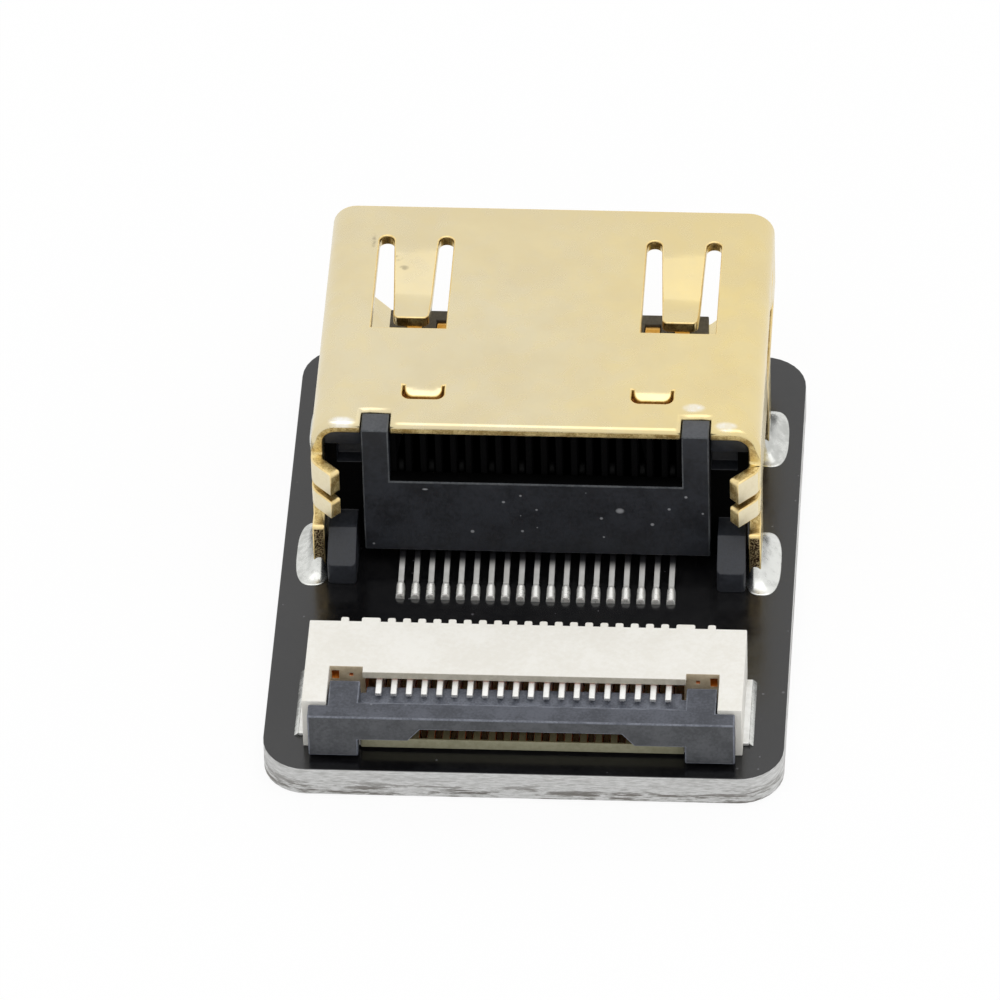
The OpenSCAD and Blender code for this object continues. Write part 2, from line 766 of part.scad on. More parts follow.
// The slot of one fork contact: open at the rear, with room for its arms under the roof and in the floor
module fork_way(x) {
    w = fork_w / 2 + fit;
    span([x - w, roof_y - fit, fork_top - fork_arm_t - fit], [x + w, cavity_y, roof_z]);
    span([x - w, cavity_y - fit, zt], [x + w, flex_rear + cut, roof_z]);
    span([x - w, floor_y + floor_lip, fork_low - fit], [x + w, cavity_y, cable_z + fit]);
}

// The slot in an arm that the slider's catch runs in
module catch_way() {
    span([arm_in - fit, catch_y - slider_travel - slider_fit, catch_z - slider_fit],
        [arm_in + catch_d + slider_fit, catch_y + catch_l + slider_fit, catch_z + catch_h + slider_fit]);
}

// A small moulding mark in the back of a lug's notch
module mark(x, w, h) {
    z = roof_z - mark_h / 2 + mark_inset;
    span([x - w / 2, notch_y - cut, z - h / 2], [x + w / 2, notch_y + mark_d, z + h / 2]);
}

module flex_slider() {
    wedge_half = cable_w / 2 - slider_fit;
    bar_y = slider_y + bar_d;
    top = zt + slider_h;
    ear_out = flex_w / 2 - ear_inset;
    lug_in = notch_in + slider_fit;
    lug_out = arm_in - slider_fit;
    color("#50545f") {
        difference() {
            along_x(0, 2 * wedge_half) polygon([[slider_y, zt + bar_low], [slider_y, top], [bar_y, top],
                [bar_y + ramp_d, wedge_hi], [slider_y + wedge_reach, wedge_hi],
                [slider_y + wedge_reach, wedge_hi - wedge_t / 2], [slider_y + wedge_reach - wedge_t, wedge_hi - wedge_t],
                [bar_y, wedge_hi - wedge_t], [bar_y, zt + bar_low]]);
            along_y(slider_y - cut, bar_y + fit) polygon([[-bar_high_w / 2 - bar_slope, zt + bar_low],
                [-bar_high_w / 2, zt + bar_high], [bar_high_w / 2, zt + bar_high],
                [bar_high_w / 2 + bar_slope, zt + bar_low]]);
        }
        both_sides() {
            span([lug_in, slider_y, zt + ear_lift], [ear_out, slider_y + ear_d, top]);
            span([wedge_half - fit, slider_y, zt + bar_low], [lug_in + fit, bar_y, top]);
            span([wedge_half - fit, bar_y - fit, wedge_hi - wedge_t], [lug_in + fit, slider_y + lug_reach, wedge_hi]);
            span([lug_in, slider_y + ear_d - fit, zt + lug_low], [lug_out, slider_y + lug_reach, top]);
            along_x(lug_out + catch_d / 2, catch_d + 2 * fit) polygon([[catch_y, catch_z],
                [catch_y + catch_l, catch_z], [catch_y + catch_l, catch_z + catch_h], [catch_y, catch_z + catch_h]]);
        }
    }
}

// One stamped fork: a tail, a web, a lower arm with a bump and an upper arm over the wedge
module fork(i) {
    tip = slider_y + fork_setback;
    low_top = fork_low + fork_low_t;
    color("#e6e5e0")
    along_x(fork_x(i), fork_w) polygon([
        [fork_tail_end, zt], [fork_tail_end, zt + fork_tail_t], [fork_web_rear + fork_tail_t, zt + fork_tail_t],
        [fork_web_rear, zt + 2 * fork_tail_t], [fork_web_rear, fork_top], [tip, fork_top],
        [tip, fork_top - fork_arm_t / 2], [tip + fork_arm_t / 2, fork_top - fork_arm_t],
        [fork_web_front, fork_top - fork_arm_t], [fork_web_front, low_top],
        [fork_bump_y + 2 * fork_bump_h, low_top], [fork_bump_y + fork_bump_h / 2, low_top + fork_bump_h],
        [fork_bump_y - fork_bump_h / 2, low_top + fork_bump_h], [fork_low_tip, low_top - fork_low_t / 2],
        [fork_low_tip, fork_low], [fork_web_rear - fork_tail_t, fork_low], [fork_web_rear, zt]]);
}

// A bent fitting nail: an upright blade in the arm and a foot on the board
module nail(slot_fit) {
    h = nail_t / 2 + slot_fit;
    span([nail_in - h, nail_y - nail_blade_l / 2 - slot_fit, zt - slot_fit],
        [nail_in + h, nail_y + nail_blade_l / 2 + slot_fit, zt + nail_blade_h + slot_fit]);
    span([nail_in - h, nail_y - nail_l / 2 - slot_fit, zt - slot_fit],
        [nail_outer + slot_fit, nail_y + nail_l / 2 + slot_fit, zt + nail_t + slot_fit]);
}

module hold_down_left() {
    color("#c8c8c4") mirror([1, 0, 0]) nail(slot_fit = 0);
}

module hold_down_right() {
    color("#c8c8c4") nail(slot_fit = 0);
}

module flex_solder() {
    color("#cfd0cc") {
        for (i = [1:fork_count]) toe(fork_x(i), fork_tail_end, 1, fork_w, fork_tail_t);
        both_sides() along_y(nail_y - nail_l / 2, nail_y + nail_l / 2)
            polygon([[nail_outer, zt], [nail_outer + nail_t, zt], [nail_outer, zt + nail_t]]);
    }
}

circuit_board();
socket_shell();
socket_insulator();
tail_spacer();
for (i = [1:contact_count]) contact(i);
leg_solder();
tail_solder();
flex_housing();
flex_slider();
for (i = [1:fork_count]) fork(i);
hold_down_left();
hold_down_right();
flex_solder();
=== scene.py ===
"""Looks of a small adapter board: a gold-plated video socket and a flat-cable connector on a black board."""
import math

import bmesh
import bpy
import numpy as np
from mathutils import Matrix, Vector


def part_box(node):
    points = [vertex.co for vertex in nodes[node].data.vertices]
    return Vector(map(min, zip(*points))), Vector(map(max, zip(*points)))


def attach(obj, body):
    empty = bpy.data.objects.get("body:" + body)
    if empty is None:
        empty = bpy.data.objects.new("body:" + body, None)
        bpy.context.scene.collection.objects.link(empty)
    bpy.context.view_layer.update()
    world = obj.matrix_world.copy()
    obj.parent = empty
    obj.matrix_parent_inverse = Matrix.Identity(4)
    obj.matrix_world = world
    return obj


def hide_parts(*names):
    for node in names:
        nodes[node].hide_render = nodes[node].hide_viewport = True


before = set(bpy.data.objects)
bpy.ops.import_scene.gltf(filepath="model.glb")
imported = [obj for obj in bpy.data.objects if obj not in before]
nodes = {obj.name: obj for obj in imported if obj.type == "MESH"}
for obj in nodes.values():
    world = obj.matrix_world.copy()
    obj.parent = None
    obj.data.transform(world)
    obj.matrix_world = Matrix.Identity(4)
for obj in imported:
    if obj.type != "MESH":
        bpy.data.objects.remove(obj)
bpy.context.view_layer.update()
MM = 0.001

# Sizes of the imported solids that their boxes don't give, in millimetres
SHEET = 0.4
BEND = 0.85  # outer radius of the shell's bends
SHELL_DEPTH = 11.2  # from the shell's rear edge to its mouth
RIB_NOTCH = 0.72  # depth of the notches in which the spacer's ribs stand
LANCE_X = 3.8
LANCE_BACK = 1.7  # from the shell's rear edge to the lances
LEG_X = 7.25
LEG_STEP = 6.3  # from the rear legs to the front legs
LEG_HALVES = (0.85, 0.7)  # half the width of the rear and the front legs
TAIL_PITCH = 0.5
LUG_NOTCH = 2.35  # from the slider's front to the back of the housing's lug notches

# Stations of the part in millimetres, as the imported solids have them
BOARD_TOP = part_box("circuit_board")[1].z / MM
SHELL_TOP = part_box("socket_shell")[1].z / MM
SHELL_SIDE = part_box("socket_shell")[1].x / MM
REAR_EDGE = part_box("socket_shell")[1].y / MM - SHELL_DEPTH
TAIL_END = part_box("contact_01")[0].y / MM
SPACER_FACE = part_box("tail_spacer")[0].y / MM
HOUSING_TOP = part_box("flex_housing")[1].z / MM
NOTCH_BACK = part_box("flex_slider")[0].y / MM + LUG_NOTCH
CONTACTS = ["contact_%02d" % i for i in range(1, 20)]
FORKS = ["flex_contact_%02d" % i for i in range(1, 21)]

# Shares of a face's normal on an axis
FACING = 0.9  # past this the face looks along the axis
CUT_FACING = 0.93  # the same for the sheared faces of the shell
LEVEL_SHARE = 0.1  # below this the face lies along the axis

# Limits for the merged copies
MERGE_MM = 0.0005  # points nearer than this are one
FLAT_ANGLE = math.radians(0.6)  # faces that meet at less than this are joined
IN_PLANE_ANGLE = 0.008  # an edge between faces that meet at less than this lies in a flat face
SQUARE_EDGE = 0.9999  # an edge runs along an axis where its share on that axis is past this
SHARP_ANGLE = math.radians(35)  # edges past this are rounded

WHITE = (1.0, 1.0, 1.0, 1.0)


# Camera

def photo_camera():
    """The photo's view: a long lens behind the socket, 42 degrees up, turned and rolled a little.

    The lens and the distance come from the photo's own perspective. The aim is the direction of the
    picture's middle, so the frame needs no shift.
    """
    turn, rise, roll = np.radians([4.33, 42.0, -1.616])
    frame_px, lens_px, distance = 1000.0, 11954.0, 396.66 * MM
    target = np.array([0.0, -2.317, 1.1]) * MM
    target_px = np.array([34.94, 105.53])
    right = np.array([math.cos(turn), math.sin(turn), 0.0])
    back = np.array([math.sin(turn) * math.cos(rise), -math.cos(turn) * math.cos(rise), math.sin(rise)])
    up = np.cross(back, right)
    rolled_right = math.cos(roll) * right + math.sin(roll) * up
    rolled_up = math.cos(roll) * up - math.sin(roll) * right
    axis = back + (target_px[0] * rolled_right - target_px[1] * rolled_up) / lens_px
    axis /= np.linalg.norm(axis)
    across = rolled_right - axis * np.dot(axis, rolled_right)
    across /= np.linalg.norm(across)
    data = bpy.data.cameras.new("photo_camera")
    data.sensor_width = 36.0
    data.lens = lens_px / frame_px * data.sensor_width
    data.clip_start = 0.01
    camera = bpy.data.objects.new("photo_camera", data)
    turned = Matrix(np.column_stack([across, np.cross(axis, across), axis]).tolist()).to_4x4()
    camera.matrix_world = Matrix.Translation(Vector(target + distance * back)) @ turned
    bpy.context.scene.collection.objects.link(camera)
    bpy.context.scene.camera = camera


# Node helpers

def put(tree, kind, inputs=(), **settings):
    """Add a node, set its settings, and set or link each input that is named or numbered."""
    node = tree.nodes.new(kind)
    for key, value in settings.items():
        setattr(node, key, value)
    for key, value in dict(inputs).items():
        socket = node.inputs[key]
        if isinstance(value, bpy.types.NodeSocket):
            tree.links.new(value, socket)
        else:
            socket.default_value = value
    return node


def use(tree, group, **inputs):
    """Place a node group in a material with its own values."""
    return put(tree, "ShaderNodeGroup", inputs, node_tree=group).outputs


def math_node(tree, operation, a, b=0.0, clamp=False):
    """One sum or comparison of two values."""
    return put(tree, "ShaderNodeMath", {0: a, 1: b}, operation=operation, use_clamp=clamp).outputs[0]


def scaled(tree, value, factor, base=0.0):
    """The value times a factor, plus a base."""
    return put(tree, "ShaderNodeMath", {0: value, 1: factor, 2: base}, operation="MULTIPLY_ADD").outputs[0]


def ramp(tree, value, low, high):
    """A smooth step from 0 where the value is low to 1 where it is high."""
    bounds = {"Value": value, "From Min": low, "From Max": high}
    return put(tree, "ShaderNodeMapRange", bounds, interpolation_type="SMOOTHSTEP").outputs[0]


def noise(tree, place, scale, detail, roughness=0.5):
    """Plain noise about one half."""
    inputs = {"Vector": place, "Scale": scale, "Detail": detail, "Roughness": roughness}
    return put(tree, "ShaderNodeTexNoise", inputs).outputs[0]


def blend(tree, factor, a, b):
    """Colour a where the factor is 0, b where it is 1."""
    return put(tree, "ShaderNodeMix", {0: factor, 6: a, 7: b}, data_type="RGBA").outputs[2]


def axes(tree, vector):
    """The three parts of a vector."""
    return put(tree, "ShaderNodeSeparateXYZ", {0: vector}).outputs


def seen_rays(tree):
    """1 for rays from the camera and for those that metal mirrors or glass lets through, else 0."""
    rays = put(tree, "ShaderNodeLightPath").outputs
    mirrored = math_node(tree, "MAXIMUM", rays["Is Glossy Ray"], rays["Is Transmission Ray"])
    return math_node(tree, "MAXIMUM", rays["Is Camera Ray"], mirrored)


def tone(r, g, b):
    """A colour given as the eye reads it, 0 to 255, as linear light."""
    c = np.array([r, g, b]) / 255.0
    linear = np.where(c <= 0.04045, c / 12.92, ((c + 0.055) / 1.055) ** 2.4)
    return (*linear.tolist(), 1.0)


def effect(name, inputs, outputs):
    """An empty shader node group with a vector and float inputs, and float outputs."""
    tree = bpy.data.node_groups.new(name, "ShaderNodeTree")
    tree.interface.new_socket("Vector", in_out="INPUT", socket_type="NodeSocketVector")
    for label, value in inputs.items():
        tree.interface.new_socket(label, in_out="INPUT", socket_type="NodeSocketFloat").default_value = value
    for label in outputs:
        tree.interface.new_socket(label, in_out="OUTPUT", socket_type="NodeSocketFloat")
    entry = tree.nodes.new("NodeGroupInput")
    leave = tree.nodes.new("NodeGroupOutput")
    return tree, entry.outputs, leave.inputs


# Shared effects

def per_metre(tree, size_mm):
    """The texture scale for a size in millimetres."""
    return math_node(tree, "DIVIDE", 1.0 / MM, size_mm)


def grain_group():
    """Fine noise over a broad noise: a tone from 0 to 1, and a height for bump. Size is in millimetres."""
    tree, given, out = effect("surface_grain", {"Size": 0.2, "Detail": 4.0}, ["Tone", "Height"])
    scale = per_metre(tree, given["Size"])
    fine = noise(tree, given["Vector"], scale, given["Detail"], 0.6)
    broad = noise(tree, given["Vector"], math_node(tree, "MULTIPLY", scale, 0.12), 2.0)
    mixed = math_node(tree, "ADD", scaled(tree, fine, 0.5), scaled(tree, broad, 0.5))
    tree.links.new(ramp(tree, mixed, 0.36, 0.64), out["Tone"])
    tree.links.new(fine, out["Height"])
    return tree


def speck_group(name, dimensions):
    """Sparse round specks: cells of the given size, of which a share holds a dot of a random radius."""
    tree, given, out = effect(name, {"Size": 0.8, "Share": 0.2, "Dot": 0.1}, ["Mask"])
    spread = {"Vector": given["Vector"], "Scale": per_metre(tree, given["Size"]), "Randomness": 1.0}
    cells = put(tree, "ShaderNodeTexVoronoi", spread, voronoi_dimensions=dimensions).outputs
    lot = put(tree, "ShaderNodeSeparateColor", {0: cells["Color"]}).outputs
    chosen = math_node(tree, "LESS_THAN", lot[0], given["Share"])
    radius = math_node(tree, "MULTIPLY", given["Dot"], math_node(tree, "ADD", lot[1], 0.3))
    edge = math_node(tree, "SUBTRACT", radius, cells["Distance"])
    soft = math_node(tree, "DIVIDE", edge, scaled(tree, radius, 0.6), clamp=True)
    tree.links.new(math_node(tree, "MULTIPLY", soft, chosen), out["Mask"])
    return tree


def streak_group():
    """Noise drawn out along the plane of the board, as the edges of woven laminate show."""
    tree, given, out = effect("fibre_streaks", {"Length": 1.2, "Height": 0.08}, ["Tone"])
    along, across = per_metre(tree, given["Length"]), per_metre(tree, given["Height"])
    size = put(tree, "ShaderNodeCombineXYZ", {0: along, 1: along, 2: across}).outputs[0]
    place = put(tree, "ShaderNodeVectorMath", {0: given["Vector"], 1: size}, operation="MULTIPLY").outputs[0]
    tree.links.new(ramp(tree, noise(tree, place, 1.0, 5.0, 0.65), 0.35, 0.66), out["Tone"])
    return tree


GRAIN = grain_group()
SPECKS = speck_group("dust_specks", "3D")
FLAT_SPECKS = speck_group("plane_specks", "2D")
STREAKS = streak_group()


# Materials

# Painted highlights and dull marks on the gold, as a middle and a reach each, along X and Y in millimetres
PAINTED_HIGHLIGHTS = (
    ((5.2, 0.94), (0.44, 0.26)),
    ((-6.4, -0.06), (0.5, 0.26)),
    ((6.3, 0.06), (0.44, 0.26)),
)
DULL_MARKS = (
    ((-5.12, 8.42), (0.24, 0.14)),
    ((-4.86, 8.05), (0.2, 0.12)),
    ((-5.95, 9.1), (0.1, 0.5)),
)

# Marks on the spacer's wall, along X and Z
SPACER_MARKS = (
    ((2.77, 3.73), (0.17, 0.14)),
    ((-2.15, 2.68), (0.08, 0.08)),
    ((-1.09, 4.01), (0.07, 0.06)),
    ((3.84, 3.16), (0.08, 0.08)),
    ((2.15, 3.38), (0.07, 0.07)),
    ((-3.68, 4.5), (0.12, 0.05)),
)


def surface(name, **values):
    """A new material with its Principled shader's uniform values set on the shader itself."""
    material = bpy.data.materials.new(name)
    material.use_nodes = True
    tree = material.node_tree
    shader = tree.nodes["Principled BSDF"]
    for key, value in values.items():
        shader.inputs[key.replace("_", " ")].default_value = value
    place = put(tree, "ShaderNodeTexCoord").outputs["Object"]
    return material, tree, shader.inputs, place


def bump(tree, shader, height, depth_mm, strength):
    """Lead a height into the shader's normal."""
    node = put(tree, "ShaderNodeBump", {"Height": height, "Distance": depth_mm * MM, "Strength": strength})
    tree.links.new(node.outputs[0], shader["Normal"])


def spot(tree, places, middle, reach):
    """A soft round mask, 1 at its middle and 0 past its reach along the two given axes, in millimetres."""
    squares = []
    for place, centre, half in zip(places, middle, reach):
        away = math_node(tree, "DIVIDE", math_node(tree, "SUBTRACT", place, centre * MM), half * MM)
        squares.append(math_node(tree, "MULTIPLY", away, away))
    return ramp(tree, math_node(tree, "ADD", *squares), 1.0, 0.0)


def gold_plate():
    """Pale gold, warmer to the right as a painted reflection, with faint mottling, soft grain, a few dull
    marks and a few near-white painted highlights.
    """
    material, tree, shader, place = surface("gold_plate", Metallic=1.0)
    grain = use(tree, GRAIN, Vector=place, Size=0.7, Detail=3.0)
    split = axes(tree, place)
    # Painted reflection: the gold's tone turns warmer towards the right, mixed with the grain
    side = ramp(tree, split[0], -2.0 * MM, 7.5 * MM)
    warm = math_node(tree, "ADD", scaled(tree, side, 0.7), scaled(tree, grain["Tone"], 0.3), clamp=True)
    colour = blend(tree, warm, tone(226, 214, 180), tone(238, 217, 154))
    cloud = use(tree, GRAIN, Vector=place, Size=1.7, Detail=4.0)["Tone"]
    colour = blend(tree, scaled(tree, cloud, 0.32), colour, tone(212, 194, 152))
    specks = use(tree, SPECKS, Vector=place, Size=1.6, Share=0.1, Dot=0.12)["Mask"]
    colour = blend(tree, scaled(tree, specks, 0.35), colour, tone(170, 150, 105))
    broken = ramp(tree, noise(tree, place, 5000.0, 3.0), 0.36, 0.62)
    highlight_weight, dull_weight = scaled(tree, broken, 0.35, 0.5), scaled(tree, broken, 0.5)
    # The painted highlights lighten the gold to near white; the dull marks darken it
    for marks, weight, mark_tone in ((PAINTED_HIGHLIGHTS, highlight_weight, tone(252, 252, 250)),
                                     (DULL_MARKS, dull_weight, tone(120, 112, 96))):
        for middle, reach in marks:
            mask = math_node(tree, "MULTIPLY", spot(tree, split, middle, reach), weight)
            colour = blend(tree, mask, colour, mark_tone)
    tree.links.new(colour, shader["Base Color"])
    tree.links.new(scaled(tree, grain["Tone"], 0.08, 0.24), shader["Roughness"])
    bump(tree, shader, grain["Height"], 0.004, 0.25)
    return material


def gold_cut():
    """Sheared edges of the sheet: olive gold with a fine dark grain."""
    material, tree, shader, place = surface("gold_cut", Metallic=1.0)
    grain = use(tree, GRAIN, Vector=place, Size=0.05, Detail=3.0)
    tree.links.new(blend(tree, grain["Tone"], tone(172, 142, 84), tone(240, 220, 160)), shader["Base Color"])
    tree.links.new(scaled(tree, grain["Tone"], 0.1, 0.42), shader["Roughness"])
    bump(tree, shader, grain["Height"], 0.012, 0.6)
    return material


def leg_cut():
    """Sheared edges of the legs: gold broken by dark brown specks of flux."""
    material, tree, shader, place = surface("leg_cut", Metallic=1.0, Roughness=0.35)
    grain = use(tree, GRAIN, Vector=place, Size=0.06, Detail=2.0)
    dark = ramp(tree, grain["Height"], 0.6, 0.44)
    tree.links.new(blend(tree, dark, tone(232, 208, 158), tone(66, 40, 24)), shader["Base Color"])
    bump(tree, shader, grain["Height"], 0.02, 0.6)
    return material


def solder_mask():
    """Glossy black lacquer with a faint ripple and a little dust."""
    material, tree, shader, place = surface("solder_mask", Specular_IOR_Level=0.75)
    grain = use(tree, GRAIN, Vector=place, Size=0.25, Detail=3.0)
    dust = use(tree, FLAT_SPECKS, Vector=place, Size=0.7, Share=0.12, Dot=0.07)["Mask"]
    colour = blend(tree, grain["Tone"], tone(14, 14, 16), tone(24, 24, 25))
    colour = blend(tree, scaled(tree, dust, 0.5), colour, tone(120, 120, 125))
    tree.links.new(colour, shader["Base Color"])
    tree.links.new(scaled(tree, grain["Tone"], 0.08, 0.16), shader["Roughness"])
    bump(tree, shader, grain["Height"], 0.004, 0.5)
    return material


def laminate_edge():
    """The sawn edge of the board: pale glass fibre in level streaks, some dark, most of those low down."""
    material, tree, shader, place = surface("laminate_edge", Roughness=0.6)
    long_streaks = use(tree, STREAKS, Vector=place, Length=1.6, Height=0.16)["Tone"]
    short_streaks = use(tree, STREAKS, Vector=place, Length=0.35, Height=0.06)["Tone"]
    mixed = math_node(tree, "MULTIPLY", long_streaks, scaled(tree, short_streaks, 0.6, 0.4))
    low = ramp(tree, axes(tree, place)[2], 0.75 * BOARD_TOP * MM, 0.2 * BOARD_TOP * MM)
    dark = math_node(tree, "MULTIPLY", ramp(tree, mixed, 0.4, 0.02), scaled(tree, low, 0.7, 0.15), clamp=True)
    pale = blend(tree, short_streaks, tone(196, 196, 194), tone(224, 224, 223))
    tree.links.new(blend(tree, dark, pale, tone(92, 86, 78)), shader["Base Color"])
    bump(tree, shader, mixed, 0.02, 0.4)
    return material


def contact_tin():
    """Tinned tails, partly matt, with painted shade where they come out from under the spacer."""
    material, tree, shader, place = surface("contact_tin", Metallic=0.35, Roughness=0.25)
    grain = use(tree, GRAIN, Vector=place, Size=0.3, Detail=2.0)
    tin = blend(tree, grain["Tone"], tone(228, 227, 223), tone(246, 245, 242))
    # Painted shade: the tails darken towards the spacer's face
    shade = ramp(tree, axes(tree, place)[1], (SPACER_FACE - 0.55) * MM, (SPACER_FACE - 0.05) * MM)
    tree.links.new(blend(tree, shade, tin, tone(40, 40, 42)), shader["Base Color"])
    return material


def bright_metal(name, dark, light, roughness, grain_size, depth, metal):
    """Plated or soldered metal with a slightly uneven skin; a dull plating is partly matt."""
    material, tree, shader, place = surface(name, Metallic=metal)
    grain = use(tree, GRAIN, Vector=place, Size=grain_size, Detail=3.0)
    tree.links.new(blend(tree, grain["Tone"], tone(*dark), tone(*light)), shader["Base Color"])
    tree.links.new(scaled(tree, grain["Tone"], 0.12, roughness), shader["Roughness"])
    bump(tree, shader, grain["Height"], depth, 0.5)
    return material


def moulding(name, dark, light, dust_tone, dust_share, roughness, grain_size, gloss=0.5, wall_marks=()):
    """Moulded resin: two near tones mixed by grain, dust specks and a fine bump.

    For an upright wall the specks are spread over the plane of X and Z, along with pale marks that are
    given as a middle and a reach each.
    """
    material, tree, shader, place = surface(name, Specular_IOR_Level=gloss)
    grain = use(tree, GRAIN, Vector=place, Size=grain_size, Detail=4.0)
    specks, spread = SPECKS, place
    if wall_marks:
        split = axes(tree, place)
        specks, spread = FLAT_SPECKS, put(tree, "ShaderNodeCombineXYZ", {0: split[0], 1: split[2]}).outputs[0]
    dust = use(tree, specks, Vector=spread, Size=0.55, Share=dust_share, Dot=0.09)["Mask"]
    for middle, reach in wall_marks:
        dust = math_node(tree, "MAXIMUM", dust, spot(tree, (split[0], split[2]), middle, reach))
    colour = blend(tree, grain["Tone"], tone(*dark), tone(*light))
    tree.links.new(blend(tree, scaled(tree, dust, 0.7), colour, tone(*dust_tone)), shader["Base Color"])
    tree.links.new(scaled(tree, grain["Tone"], 0.14, roughness), shader["Roughness"])
    bump(tree, shader, grain["Height"], 0.012, 0.6)
    return material


# Dark tone, light tone, roughness, size of the grain, depth of the bump and share of metal
METALS = {
    "gold_edge": ((232, 204, 138), (246, 224, 168), 0.3, 0.1, 0.004, 1.0),
    # Paler, partly matt gold for the tabs' outer faces: painted light
    "tab_gold_painted_light": ((234, 222, 186), (244, 233, 202), 0.4, 0.15, 0.004, 0.6),
    "gold_blade": ((214, 160, 70), (240, 192, 104), 0.3, 0.2, 0.004, 1.0),
    # Orange gold on the insulator under the lances: a painted reflection of the lances' lit walls
    "lance_painted_reflection": ((216, 164, 92), (238, 192, 122), 0.5, 0.1, 0.004, 0.3),
    # Near black: painted shade on the contacts inside the comb
    "contact_dull": ((14, 14, 14), (26, 26, 26), 0.5, 0.12, 0.004, 1.0),
    "fork_tin": ((240, 239, 235), (250, 249, 246), 0.3, 0.1, 0.004, 0.55),
    # Dark brown: painted shade on the forks' lower arms
    "fork_shade": ((66, 48, 18), (88, 66, 30), 0.5, 0.1, 0.004, 0.4),
    "tin_plate": ((230, 230, 226), (249, 249, 247), 0.3, 0.2, 0.008, 0.5),
    "bead_tin": ((226, 226, 222), (244, 244, 240), 0.25, 0.12, 0.006, 0.5),
    "solder": ((190, 191, 187), (228, 229, 225), 0.2, 0.3, 0.012, 1.0),
}

# Dark tone, light tone, tone of the dust, share of cells with dust, roughness, size of the grain, and for
# some the gloss and the marks
MOULDINGS = {
    "insulator_black": ((32, 35, 41), (47, 50, 57), (120, 122, 125), 0.1, 0.4, 0.12),
    # Near black: painted shade in the comb and in the spacer's recess
    "comb_painted_shade": ((2, 2, 2), (5, 5, 6), (20, 20, 22), 0.04, 0.7, 0.1, 0.06),
    # Grey: painted light on the black insulator where the mouth lets light in
    "tongue_painted_light": ((96, 92, 84), (122, 118, 108), (150, 146, 136), 0.04, 0.5, 0.1),
    "spacer_black": ((24, 26, 31), (38, 41, 48), (176, 178, 182), 0.12, 0.42, 0.14, 0.5, SPACER_MARKS),
    # Paler: painted highlights on the spacer's rounded edges
    "spacer_painted_edge_light": ((48, 52, 57), (84, 87, 90), (150, 152, 155), 0.1, 0.42, 0.08),
    # Paler: painted light on the ribs' upward faces
    "rib_top": ((58, 60, 64), (78, 80, 84), (130, 130, 130), 0.1, 0.42, 0.1),
    "housing_white": ((240, 237, 228), (247, 245, 238), (214, 208, 194), 0.04, 0.45, 0.15),
    # Tan: painted shade on the notches' back walls
    "housing_notch_painted_shade": ((196, 178, 148), (214, 198, 170), (180, 165, 138), 0.04, 0.5, 0.12),
    # Darker: painted shade on the roof's front face
    "housing_lip_painted_shade": ((190, 184, 168), (206, 200, 186), (170, 162, 144), 0.04, 0.5, 0.12),
    # Darker: painted shade on the cable floor's front face
    "housing_sill_painted_shade": ((152, 149, 122), (170, 167, 140), (130, 126, 100), 0.04, 0.5, 0.12),
    # Amber olive: painted shade on the cable floor's top
    "housing_floor_painted_shade": ((128, 118, 84), (150, 140, 104), (170, 155, 120), 0.04, 0.5, 0.1),
    # Orange that reads brown in shade: a painted warm glow through the pale plastic in the slots
    "housing_deep_painted_glow": ((200, 112, 60), (216, 132, 78), (120, 90, 50), 0.03, 0.5, 0.1),
    # Orange: a painted warm glow in the notch pocket
    "mark_painted_glow": ((180, 98, 12), (206, 120, 24), (150, 80, 10), 0.03, 0.5, 0.1),
    "slider_grey": ((60, 63, 71), (88, 91, 100), (130, 133, 142), 0.12, 0.5, 0.1),
    # Darker: painted shade on the slider's front faces
    "slider_front_painted_shade": ((56, 58, 62), (82, 84, 88), (118, 120, 122), 0.12, 0.5, 0.1),
    # Paler: painted light on the slider's rounded edges and the deck under the forks
    "slider_painted_light": ((86, 90, 100), (126, 130, 140), (155, 158, 166), 0.1, 0.5, 0.07),
}

FINISH = {
    "gold_plate": gold_plate(),
    "gold_cut": gold_cut(),
    "leg_cut": leg_cut(),
    "solder_mask": solder_mask(),
    "laminate_edge": laminate_edge(),
    "contact_tin": contact_tin(),
}
FINISH.update({name: bright_metal(name, *values) for name, values in METALS.items()})
FINISH.update({name: moulding(name, *values) for name, values in MOULDINGS.items()})


# Pieces

def finish_piece(obj, body, replaced):
    """Hang a piece on its body and hide the solids it stands for."""
    bpy.context.scene.collection.objects.link(obj)
    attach(obj, body)
    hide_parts(*replaced)


def slanting(edge):
    """Whether an edge lies in a flat face and runs along no axis."""
    way = (edge.verts[1].co - edge.verts[0].co).normalized()
    return edge.calc_face_angle(1.0) < IN_PLANE_ANGLE and max(map(abs, way)) < SQUARE_EDGE


